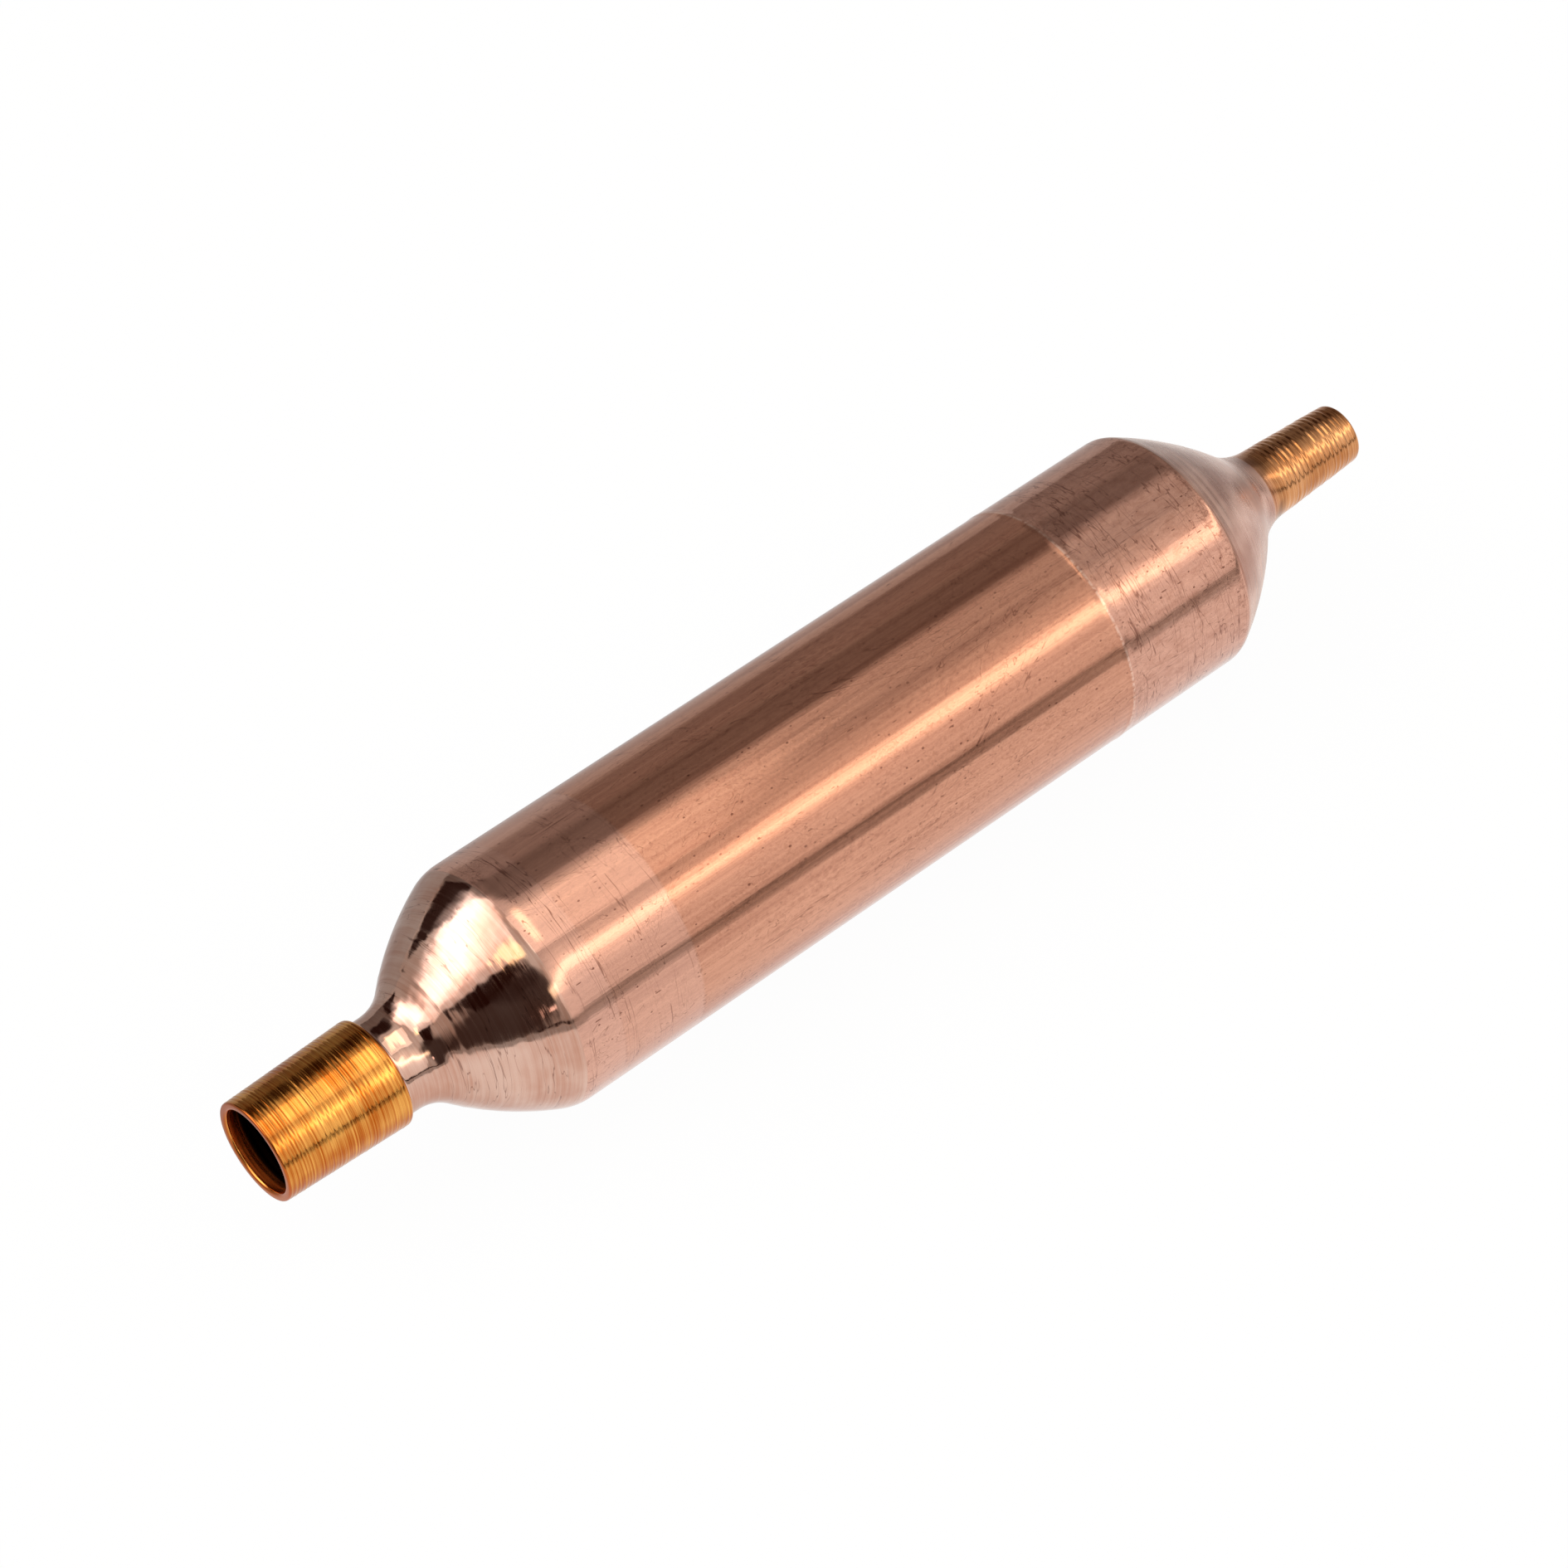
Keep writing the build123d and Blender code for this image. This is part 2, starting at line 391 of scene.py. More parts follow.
# Colour that goes from the first to the second where a cloudy pattern rises through its middle.
def twoTones(tree, pattern, first, second, spread=0.15):
    tone = ramp(tree, pattern, 0.5 - spread, 0.5 + spread)
    return node(tree, "Mix", {0: tone, 6: linear(first), 7: linear(second)}, **rgba)


# One colour laid over another where the mask is 1, as strongly as the share says.
def over(tree, colour, paint, mask, share=1.0):
    if isinstance(paint, str):
        paint = linear(paint)
    amount = node(tree, "Math", {0: mask, 1: share}, use_clamp=True, **times)
    return node(tree, "Mix", {0: amount, 6: colour, 7: paint}, **rgba)


# 1 from one place along the axis to another, in millimetres, easing over the width.
def band(tree, low, high, width):
    x = node(tree, "SeparateXYZ", {0: rates(tree, 1.0, 1.0)})
    rise = ramp(tree, x, low - width / 2, low + width / 2)
    fall = ramp(tree, x, high + width / 2, high - width / 2)
    return node(tree, "Math", {0: rise, 1: fall}, **times)


# Thin marks: 1 where a pattern drawn out along one way comes within a hair of its middle
# value, which gives long fine threads that way, in patches where a wider pattern is high.
def threads(tree, along, across, thinness, patchy, turn=None):
    wider, easing = 0.23, 0.12      # rate of the patches over that of the threads, and their edge
    fine, broad = (2.0, 0.4), (1.0, 0.5)        # detail and roughness of the two patterns
    grain = cloudy(tree, along, across, *fine, turn)
    offset = node(tree, "Math", {0: grain, 1: 0.5}, operation="SUBTRACT")
    offset = node(tree, "Math", {0: offset}, operation="ABSOLUTE")
    line = ramp(tree, offset, thinness, 0.0)
    here = cloudy(tree, along * wider, across * wider, *broad, turn)
    here = ramp(tree, here, patchy, patchy + easing)
    return node(tree, "Math", {0: line, 1: here}, **times)


# Small pits and stains: a round spot in some of a pattern's cells, 1 in the spot. The cell
# colour's first number chooses the cells, and its second one the spot's size.
def spots(tree, along, across, share, size):
    cells = node(tree, "TexVoronoi", {"Vector": rates(tree, along, across), "Scale": 1.0}).node.outputs
    chosen = node(tree, "SeparateXYZ", {0: cells["Color"]}).node.outputs
    reach = node(tree, "Math", {0: chosen[1], 1: size}, **times)
    spot = node(tree, "Math", {0: cells["Distance"], 1: reach}, operation="LESS_THAN")
    kept = node(tree, "Math", {0: chosen[0], 1: share}, operation="LESS_THAN")
    return node(tree, "Math", {0: spot, 1: kept}, **times)


# Metal with this colour, a roughness that follows a pattern between two values, and bumps
# from patterns with their heights in millimetres.
def finishMetal(tree, colour, pattern, roughness, bumps, **shine):
    rough = ramp(tree, pattern, *mostly, *roughness)
    inputs = {"Base Color": colour, "Metallic": 1.0, "Roughness": rough}
    for height, depth in bumps:
        bump = {"Height": height, "Strength": 1.0, "Distance": depth * mm}
        if "Normal" in inputs:
            bump["Normal"] = inputs["Normal"]
        inputs["Normal"] = node(tree, "Bump", bump)
    for name, value in shine.items():
        inputs[name.replace("_", " ")] = value
    metal = node(tree, "BsdfPrincipled", inputs)
    node(tree, "OutputMaterial", {"Surface": metal})


# Rings that a tool leaves round the axis: a pattern with so few patches per millimetre that
# way, ringDraw, that they draw out into rings.
def toolRings(tree, look):
    return cloudy(tree, 1 / look["ringWidth"], look["ringDraw"], *look["ringDetail"])


# In each look a pattern gives its rates along and across, and sometimes its detail and
# roughness. Scratches give the rates, thinness and how patchy. A range limits a ramp.
satinLook = {
    "pale": "#dfb4a2", "warm": "#ac7662", "mark": "#6c4236",
    "ringWidth": 0.3, "ringDraw": 0.06, "ringDetail": (3.0, 0.6), "ringDepth": 0.004,
    "clouds": (0.3, 0.3, 2.0),
    "ringShare": 0.35, "cloudShare": 0.65,
    "scratches": (2.0, 0.12, 0.012, 0.5), "scratchShare": 0.5,
    "roughness": (0.22, 0.40),
    "film": 0.5, "filmRoughness": 0.4,      # sheen of the dull film, seen at a slant
}


# Copper left dull by the slower second spinning: soft and pinkish, with faint rings.
def satinCopper():
    look = satinLook
    material, tree = newMaterial("spunSatinCopper")
    rings = toolRings(tree, look)
    clouds = cloudy(tree, *look["clouds"])
    tone = shares(tree, (rings, look["ringShare"]), (clouds, look["cloudShare"]))
    colour = twoTones(tree, tone, look["warm"], look["pale"])
    colour = over(tree, colour, look["mark"], threads(tree, *look["scratches"]), look["scratchShare"])
    finishMetal(tree, colour, rings, look["roughness"], [(rings, look["ringDepth"])],
                Sheen_Weight=look["film"], Sheen_Roughness=look["filmRoughness"])
    return material


turnedLook = {
    "bright": "#f6b25a", "deep": "#b65610",           # inlet sleeve, heated most and most golden
    "stubBright": "#e6a874", "stubDeep": "#b26c3a",   # outlet stub, paler
    "burn": "#522a18",
    "face": "#c4602a",                                # cut end of the mouth
    "faceDepth": 0.12, "faceEase": 0.1, "faceShare": 0.85,
    "ringWidth": 0.12, "ringDraw": 0.05, "ringDetail": (4.0, 0.6), "ringDepth": 0.012,
    "patches": (0.25, 0.35, 2.0),
    "ringShare": 0.6, "patchShare": 0.4,
    "dullPast": 0.6, "dullEase": 2.4,       # the satin finish fades out along the stub's root
    "burnFrom": 0.9, "burnTo": 1.9, "burnEase": 1.2, "burnRange": (0.42, 0.6), "burnShare": 0.6,
    "scratches": (6.5, 0.1, 0.02, 0.48), "scratchShare": 0.4,
    "roughness": (0.08, 0.24),
}


# Copper straight off the lathe: bright golden orange, with fine uneven rings that break
# every reflection into short teeth.
def turnedCopper():
    look = turnedLook
    material, tree = newMaterial("turnedCopper")
    rings = toolRings(tree, look)
    patches = cloudy(tree, *look["patches"])
    tone = shares(tree, (rings, look["ringShare"]), (patches, look["patchShare"]))
    colour = twoTones(tree, tone, look["deep"], look["bright"])
    stub = twoTones(tree, tone, look["stubDeep"], look["stubBright"])
    colour = over(tree, colour, stub, band(tree, 0, tipX + beyond, 1))      # past the middle
    dull = twoTones(tree, tone, satinLook["warm"], satinLook["pale"])
    colour = over(tree, colour, dull, band(tree, 0, stubRootX + look["dullPast"], look["dullEase"]))
    face = band(tree, mouthX - beyond, mouthX + look["faceDepth"], look["faceEase"])
    colour = over(tree, colour, look["face"], face, look["faceShare"])
    scorched = ramp(tree, patches, *look["burnRange"])
    root = band(tree, stubRootX + look["burnFrom"], stubRootX + look["burnTo"], look["burnEase"])
    scorched = node(tree, "Math", {0: scorched, 1: root}, **times)
    colour = over(tree, colour, look["burn"], scorched, look["burnShare"])
    colour = over(tree, colour, look["burn"], threads(tree, *look["scratches"]), look["scratchShare"])
    finishMetal(tree, colour, rings, look["roughness"], [(rings, look["ringDepth"])])
    return material


polishedLook = {
    "pale": "#dcb6a4", "warm": "#c28e78", "mark": "#6a4034",
    "ringWidth": 0.22, "ringDraw": 0.08, "ringDetail": (3.0, 0.6), "ringDepth": 0.004,
    "clouds": (0.25, 0.2),
    "ringShare": 0.35, "cloudShare": 0.65,
    "scratches": (2.4, 0.16, 0.012, 0.46), "scratchShare": 0.6,
    "roughness": (0.03, 0.13),
    "ripples": (1.3, 0.45, 2.0), "rippleDepth": 0.014,
    "dents": (0.8, 0.8, 1.0), "dentDepth": 0.03,
    "neckPast": 1.2, "neckEase": 1.4, "neckMore": 0.7,      # the neck is dented more
}


# Copper polished by the spinning roller: nearly a mirror, with faint rings of paler metal
# and hair-thin dark scratches round the axis.
def polishedCopper():
    look = polishedLook
    material, tree = newMaterial("spunPolishedCopper")
    rings = toolRings(tree, look)
    tone = shares(tree, (rings, look["ringShare"]), (cloudy(tree, *look["clouds"]), look["cloudShare"]))
    colour = twoTones(tree, tone, look["warm"], look["pale"])
    colour = over(tree, colour, look["mark"], threads(tree, *look["scratches"]), look["scratchShare"])
    ripples = cloudy(tree, *look["ripples"])
    neck = band(tree, stepX - beyond, neckEndX + look["neckPast"], look["neckEase"])
    dents = node(tree, "Math", {0: neck, 1: look["neckMore"], 2: 1.0}, operation="MULTIPLY_ADD")
    dents = node(tree, "Math", {0: dents, 1: cloudy(tree, *look["dents"])}, **times)
    bumps = [(rings, look["ringDepth"]), (ripples, look["rippleDepth"]), (dents, look["dentDepth"])]
    finishMetal(tree, colour, rings, look["roughness"], bumps)
    return material


drawnLook = {
    # the darkest colour here is tarnish, and it also paints the shade past the crimp ring's ridge
    "bright": "#dfa488", "deep": "#b67c65", "pink": "#e4b8a8", "tarnishAndShade": "#66301f",
    # the palest colour here is a painted highlight along the crest of the crimp ring
    "grain": "#95573f", "crestHighlight": "#f6d8c8",
    "toneSpread": 0.14,             # how softly deep goes over into bright
    # draw lines along the barrel, patches per millimetre along it and detail
    "lineWidth": 0.28, "lineDraw": 0.02, "lineDetail": (4.0, 0.65),
    "grainSize": 0.3, "grainDraw": 0.6, "grainDetail": (4.0, 0.7),
    "streaks": (0.012, 0.7, 3.0, 0.6), "clouds": (0.06, 0.2), "wander": (0.05, 0.35, 2.0),
    "smudges": (1.0, 1.5, 5.0, 0.8),
    "lineShare": 0.25, "streakShare": 0.35, "grainShare": 0.4,
    "mottleRange": (0.5, 0.62), "cloudRange": (0.3, 0.6), "mottleShare": 0.4,
    "smudgeRange": (0.38, 0.75), "smudgeShare": 0.38,
    "lineDepth": 0.0035, "streakDepth": 0.006, "grainDepth": 0.002, "wanderDepth": 0.05,
    # how much paler the ends are that were worked again, and how softly they begin
    "inletWorked": 0.3, "innerWorked": 0.15, "outletWorked": 0.4, "workedEase": 0.3,
    # rates along and across, share of cells with a spot, and the size of the largest
    "specks": (1.7, 2.5, 0.4, 0.22), "dashes": (0.6, 3.0, 0.22, 0.18),
    "stainRange": (0.35, 0.6), "stained": (0.25, 0.9),      # where they gather, least and most
    "ringScratches": (2.2, 0.15, 0.014, 0.44), "ringScratchShare": 2.2,
    "endScratches": (1.6, 0.3, 0.016, 0.42), "endTurn": (0, 0.1, 0.05), "endScratchShare": 0.8,
    "longScratches": (0.1, 1.6, 0.010, 0.54),
    # turns of the long scratches in radians, and how strong each set is
    "longTurns": (((0, 0, 0.35), 0.8), ((0, 0.5, -0.3), 0.8), ((0, 0, 0), 0.6), ((0.4, 0.2, 0.9), 0.7)),
    # thin dark lines at the hoops' ends, the crimp ring and the shoulder: from and to, as
    # seen from that place, ease and share
    "hoopEndLine": (-0.12, 0.12, 0.1, 0.5), "hoopLine": (-0.1, 0.1, 0.1, 0.35),
    # the line past the crimp ring is painted shade on the far side of its ridge
    "crimpShadeLine": (0.3, 0.6, 0.2, 0.6), "shoulderLine": (-0.9, -0.1, 0.3, 0.5),
    "markShare": 0.8,
    # painted highlight along the crest of the crimp ring, where its ridge would catch the light
    "crest": (-0.16, 0.04), "crestEase": 0.1, "crestRange": (0.35, 0.55), "crestHighlightShare": 0.4,
    "roughness": (0.07, 0.19),
    "film": 0.85,                   # how metallic it stays under a thin film of oxide
}


# Drawn copper tube: satin, with long straight draw lines, streaks and small dark specks
# pulled out along the tube. Pinker and paler over the ends that were worked again, with
# fine scratches round the axis there.
def drawnCopper():
    look = drawnLook
    material, tree = newMaterial("drawnCopperTube")
    size = look["grainSize"]
    lines = cloudy(tree, look["lineDraw"], 1 / look["lineWidth"], *look["lineDetail"])
    streaks = cloudy(tree, *look["streaks"])
    grain = cloudy(tree, look["grainDraw"] / size, 1 / size, *look["grainDetail"])
    cloud = cloudy(tree, *look["clouds"])
    wander = cloudy(tree, *look["wander"])
    tone = shares(tree, (lines, look["lineShare"]), (streaks, look["streakShare"]),
                  (grain, look["grainShare"]))
    colour = twoTones(tree, tone, look["deep"], look["bright"], look["toneSpread"])
    mottle = ramp(tree, grain, *look["mottleRange"])
    clouded = ramp(tree, cloud, *look["cloudRange"])
    mottle = node(tree, "Math", {0: mottle, 1: clouded}, **times)
    colour = over(tree, colour, look["grain"], mottle, look["mottleShare"])
    ease = look["workedEase"]
    inletEnd = band(tree, inletShoulderX - beyond, inletHoopEndX, ease)
    innerEnd = band(tree, inletShoulderX - beyond, inletHoopX, ease)
    outletEnd = band(tree, crimpX, outletShoulderX + beyond, ease)
    worked = shares(tree, (inletEnd, look["inletWorked"]), (innerEnd, look["innerWorked"]),
                    (outletEnd, look["outletWorked"]))
    colour = over(tree, colour, look["pink"], worked)
    smudge = ramp(tree, cloudy(tree, *look["smudges"]), *look["smudgeRange"])
    smudge = node(tree, "Math", {0: smudge, 1: outletEnd}, **times)
    colour = over(tree, colour, look["grain"], smudge, look["smudgeShare"])
    # dark specks, dashes, scratches and thin lines, gathered as one mask; the line past the crimp ring is
    # painted shade
    stained = ramp(tree, cloud, *look["stainRange"], *look["stained"])
    dots, dashes = spots(tree, *look["specks"]), spots(tree, *look["dashes"])
    dark = node(tree, "Math", {0: dots, 1: dashes}, operation="MAXIMUM")
    dark = node(tree, "Math", {0: dark, 1: stained}, **times)
    marks = [(threads(tree, *look["ringScratches"]), worked, look["ringScratchShare"])]
    for turn, share in look["longTurns"]:
        marks.append((threads(tree, *look["longScratches"], turn), 1.0, share))
    edges = []
    for name, x in (("hoopEndLine", inletHoopEndX), ("hoopLine", inletHoopX),
                    ("crimpShadeLine", crimpX), ("shoulderLine", outletShoulderX)):
        low, high, ease, share = look[name]
        edges.append((band(tree, x + low, x + high, ease), share))
    marks.append((shares(tree, *edges), mottle, 1.0))
    scratches = threads(tree, *look["endScratches"], look["endTurn"])
    marks.append((scratches, outletEnd, look["endScratchShare"]))
    for mark, mask, share in marks:
        mark = node(tree, "Math", {0: mark, 1: mask}, **times)
        mark = node(tree, "Math", {0: mark, 1: share}, **times)
        dark = node(tree, "Math", {0: dark, 1: mark}, operation="MAXIMUM")
    # one dark colour for all these marks: tarnish for the specks and scratches, painted shade for the line
    # past the crimp ring
    colour = over(tree, colour, look["tarnishAndShade"], dark, look["markShare"])
    # painted highlight: a pale line along the crest of the crimp ring, in patches of the grain
    low, high = look["crest"]
    crest = band(tree, crimpX + low, crimpX + high, look["crestEase"])
    crest = node(tree, "Math", {0: ramp(tree, grain, *look["crestRange"]), 1: crest}, **times)
    colour = over(tree, colour, look["crestHighlight"], crest, look["crestHighlightShare"])
    bumps = [(lines, look["lineDepth"]), (streaks, look["streakDepth"]), (grain, look["grainDepth"]),
             (wander, look["wanderDepth"])]
    finishMetal(tree, colour, streaks, look["roughness"], bumps, Metallic=look["film"])
    return material


boreLook = {
    # the two nearly black tones are painted shade deep in the bore
    "bright": "#f07c34", "dark": "#120804", "brown": "#24120a",
    "ringWidth": 0.2, "ringDraw": 0.1, "ringDetail": (3.0, 0.6), "ringDepth": 0.01,
    "reamed": 1.0, "reamedEase": 0.4,       # depth of the bright stretch
    "roughness": (0.25, 0.45),
}


# Inside of the shell: bright for the short stretch that the reamer touched, and nearly black
# # further in, which is painted shade deep in the bore.
def boreCopper():
    look = boreLook
    material, tree = newMaterial("reamedBoreCopper")
    rings = toolRings(tree, look)
    # painted shade: the bore nearly black past the reamed stretch
    boreShade = twoTones(tree, rings, look["dark"], look["brown"])
    reamed = band(tree, mouthX - beyond, mouthX + look["reamed"], look["reamedEase"])
    colour = over(tree, boreShade, look["bright"], reamed)
    finishMetal(tree, colour, rings, look["roughness"], [(rings, look["ringDepth"])])
    return material


# Screens of woven wire, pressed into a plain rim. Each wire is a tube that goes over and
# under the wires it crosses.
screens = {
    "inlet_screen": {"pitch": 1.2, "wire": 0.16, "perPitch": 6},
    "outlet_screen": {"pitch": 0.8, "wire": 0.13, "perPitch": 5},
}
screenRim = {
    "width": 0.9,
    "inset": 0.02,                  # from the edge of the solid screen
    "wireEnd": 0.5,                 # the wires end this far in from the rim's edge
    "thickness": 0.98,              # share of the solid screen's
    "around": 72,
    "step": 0.2,
}


# Wires of one direction. Across the disc a wire follows lift * cos(pi * s / pitch), turned
# over from one wire to the next, and its section is a circle in six steps. Two faces close
# each end.
def wireRows(look, reach, flip):
    pitch, radius, lift = look["pitch"], look["wire"] / 2, look["wire"] / 2
    sides = 6
    count = int(reach / pitch)
    vertices, faces, base = [], [], 0
    for row in range(-count, count + 1):
        half = math.sqrt(max(reach**2 - (row * pitch)**2, 0.0))
        if half < pitch:
            continue
        steps = max(4, int(2 * half / pitch * look["perPitch"]))
        along = np.linspace(-half, half, steps + 1)
        sign = -flip if row % 2 else flip
        height = lift * sign * np.cos(np.pi * along / pitch)
        angle = np.linspace(0, 2 * np.pi, sides, endpoint=False)[None, :]
        up, across, along = np.broadcast_arrays(
            height[:, None] + radius * np.sin(angle), row * pitch + radius * np.cos(angle), along[:, None])
        ring = np.stack([up, across, along], axis=-1)
        index = base + np.arange(len(along) * sides).reshape(len(along), sides)
        beside = np.roll(index, -1, axis=1)
        quads = np.stack([index[:-1], index[1:], beside[1:], beside[:-1]], axis=-1)
        vertices.append(ring.reshape(-1, 3))
        first, last = index[0], index[-1][::-1]
        ends = np.array([first[[0, 1, 2, 3]], first[[3, 4, 5, 0]], last[[0, 1, 2, 3]], last[[3, 4, 5, 0]]])
        faces.append(np.concatenate([quads.reshape(-1, 4), ends]))
        base += ring.shape[0] * sides
    return np.concatenate(vertices), np.concatenate(faces)


def makeScreen(nodeName):
    look, width, around = screens[nodeName], screenRim["width"], screenRim["around"]
    low, high = [Vector(corner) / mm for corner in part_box(nodeName)]
    middle, rim = (low.x + high.x) / 2, high.y - screenRim["inset"]
    half = (high.x - low.x) / 2 * screenRim["thickness"]
    warp, warpFaces = wireRows(look, rim - screenRim["wireEnd"], 1)
    weft, weftFaces = wireRows(look, rim - screenRim["wireEnd"], -1)
    weft = weft[:, [0, 2, 1]]                         # turned a quarter, which mirrors it
    weftFaces = weftFaces[:, ::-1] + len(warp)
    # pressed rim: a rectangle of section carried round the disc
    corners = np.array([(-half, rim - width), (-half, rim), (half, rim), (half, rim - width)])
    section = np.concatenate([run(corners[i - 1], corners[i], screenRim["step"])[:-1] for i in range(4)])
    angle = np.linspace(0, 2 * math.pi, around, endpoint=False)[None, :]
    ringX = np.repeat(section[:, :1], around, axis=1)
    ringR = np.repeat(section[:, 1:], around, axis=1)
    rimPoints = np.stack([ringX, ringR * np.cos(angle), ringR * np.sin(angle)], axis=-1).reshape(-1, 3)
    rimFaces = closedGrid(len(section), around) + len(warp) + len(weft)
    vertices = np.concatenate([warp, weft, rimPoints])
    vertices[:, 0] += middle
    piece = meshPiece(nodeName + "Woven", vertices, np.concatenate([warpFaces, weftFaces, rimFaces]))
    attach(piece, "root")
    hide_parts(nodeName)
    return piece


# Loose beads of desiccant: balls in staggered layers and rows, nudged and sized at random, so
# that some sink a little way into the ones beside them.
beads = {
    "size": 1.9,
    "fill": 0.94,                   # width of the largest bead as a share of its place
    "spread": 0.12,                 # share by which beads differ in size
    "nudge": (0.04, 0.1, 0.1),      # along X, Y and Z, as shares of the size
    "endDepth": 0.8,                # beads this near to an end, in sizes, lie inside the hoops
    "hoopReach": 1.5,               # how far the hoops reach in over the screen's rim
    "seed": 7,
    "around": 8, "tiers": 6,        # faces of a ball
}


# A ball closed by a fan at each pole: a sphere's two angles on a grid.
def ballMesh():
    around, rings = beads["around"], beads["tiers"] - 1
    turn = np.linspace(0, 2 * np.pi, around, endpoint=False)
    tilt = np.linspace(0, np.pi, rings + 2)[1:-1, None]
    ring = np.stack(np.broadcast_arrays(
        np.cos(tilt), np.sin(tilt) * np.cos(turn), np.sin(tilt) * np.sin(turn)), -1)
    points = np.concatenate([ring.reshape(-1, 3), [(1.0, 0, 0), (-1.0, 0, 0)]])
    index = np.arange(rings * around).reshape(rings, around)
    beside = np.roll(index, -1, axis=1)
    a, b = index[:-1].reshape(-1), beside[:-1].reshape(-1)
    c, d = beside[1:].reshape(-1), index[1:].reshape(-1)
    sides = np.concatenate([np.stack([a, c, b], -1), np.stack([a, d, c], -1)])
    top = np.stack([index[0], beside[0], np.full(around, rings * around)], -1)
    bottom = np.stack([beside[-1], index[-1], np.full(around, rings * around + 1)], -1)
    return points, np.concatenate([sides, top, bottom])


def makeBeads():
    low, high = [Vector(corner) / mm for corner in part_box("desiccant_beads")]
    size = beads["size"]
    random = np.random.default_rng(beads["seed"])
    layers = int((high.x - low.x - size) / (size * math.sqrt(2 / 3)))
    rows = int(high.y / size) + 2
    layer, row, column = np.meshgrid(np.arange(layers + 1), np.arange(-rows, rows + 1),
                                     np.arange(-rows, rows + 1), indexing="ij")
    shift = layer % 2
    y = size * (column + 0.5 * (row % 2) + 0.5 * shift)
    z = size * (row * math.sqrt(3) / 2 + shift / math.sqrt(3))
    x = low.x + size / 2 + layer * (high.x - low.x - size) / layers
    centres = np.stack([x, y, z], axis=-1).reshape(-1, 3)
    centres += random.uniform(-1, 1, centres.shape) * beads["nudge"] * size
    width = size * beads["fill"] * (1 - beads["spread"] * random.random(len(centres)))
    endPlace = (high.x - low.x) / 2 - size * beads["endDepth"]
    ends = np.abs(centres[:, 0] - (low.x + high.x) / 2) > endPlace
    room = np.where(ends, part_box("inlet_screen")[1].y / mm - beads["hoopReach"], high.y)
    centres[:, 0] = np.clip(centres[:, 0], low.x + width / 2, high.x - width / 2)
    kept = np.hypot(centres[:, 1], centres[:, 2]) < room - width / 2
    centres, width = centres[kept], width[kept]
    points, faces = ballMesh()
    vertices = centres[:, None, :] + points[None] * (width / 2)[:, None, None]
    allFaces = faces[None] + (np.arange(len(centres)) * len(points))[:, None, None]
    piece = meshPiece("desiccantBeads", vertices.reshape(-1, 3), allFaces.reshape(-1, 3))
    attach(piece, "root")
    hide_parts("desiccant_beads")
    print("beads:", len(centres), "of", len(faces), "triangles each")
    return piece


sieveLook = {
    "dull": "#c9b8a0", "chalky": "#e2d8c6",
    "pits": (6.0, 6.0, 3.0, 0.6), "pitDepth": 0.05, "clouds": (0.8, 0.8),
    "roughness": (0.75, 0.95), "ior": 1.5,
}


# Molecular sieve: fired clay and zeolite rolled into dull, chalky, slightly pitted beads.
def firedSieve():
    look = sieveLook
    material, tree = newMaterial("firedMolecularSieve")
    pits = cloudy(tree, *look["pits"])
    colour = twoTones(tree, cloudy(tree, *look["clouds"]), look["dull"], look["chalky"])
    bump = node(tree, "Bump", {"Height": pits, "Strength": 1.0, "Distance": look["pitDepth"] * mm})
    chalk = ramp(tree, pits, *mostly, *look["roughness"])
    clay = node(tree, "BsdfPrincipled", {"Base Color": colour, "Normal": bump, "Roughness": chalk,
                "IOR": look["ior"]})
    node(tree, "OutputMaterial", {"Surface": clay})
    return material


steelLook = {"shade": "#8f9194", "bright": "#b9bcbf", "grain": (5.0, 5.0, 3.0, 0.6), "depth": 0.006,
             "roughness": (0.22, 0.4)}


# Stainless steel wire, drawn bright and pressed: cool grey with fine grain.
def drawnSteel():
    look = steelLook
    material, tree = newMaterial("drawnStainlessWire")
    grain = cloudy(tree, *look["grain"])
    colour = twoTones(tree, grain, look["shade"], look["bright"])
    finishMetal(tree, colour, grain, look["roughness"], [(grain, look["depth"])])
    return material


brassLook = {"deep": "#b08a3e", "bright": "#dcb964", "rings": (6.0, 0.2, 3.0, 0.6),
             "clouds": (0.4, 0.4), "ringShare": 0.5, "cloudShare": 0.5, "depth": 0.006,
             "roughness": (0.22, 0.42)}


# Brass strip rolled and stamped into a hoop: yellow, with faint rolling lines and dull spots.
def stampedBrass():
    look = brassLook
    material, tree = newMaterial("stampedBrassStrip")
    rings = cloudy(tree, *look["rings"])
    tone = shares(tree, (rings, look["ringShare"]), (cloudy(tree, *look["clouds"]), look["cloudShare"]))
    colour = twoTones(tree, tone, look["deep"], look["bright"])
    finishMetal(tree, colour, rings, look["roughness"], [(rings, look["depth"])])
    return material


steel = drawnSteel()
for nodeName in screens:
    makeScreen(nodeName).data.materials.append(steel)
makeBeads().data.materials.append(firedSieve())
brass = stampedBrass()
for nodeName in ("inlet_hoop", "outlet_hoop"):
    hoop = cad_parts[nodeName]
    hoop.data.materials.clear()
    hoop.data.materials.append(brass)
print("inner pieces made")


for make in (turnedCopper, polishedCopper, drawnCopper, satinCopper, boreCopper):
    shellPiece.data.materials.append(make())
print("shell materials made")


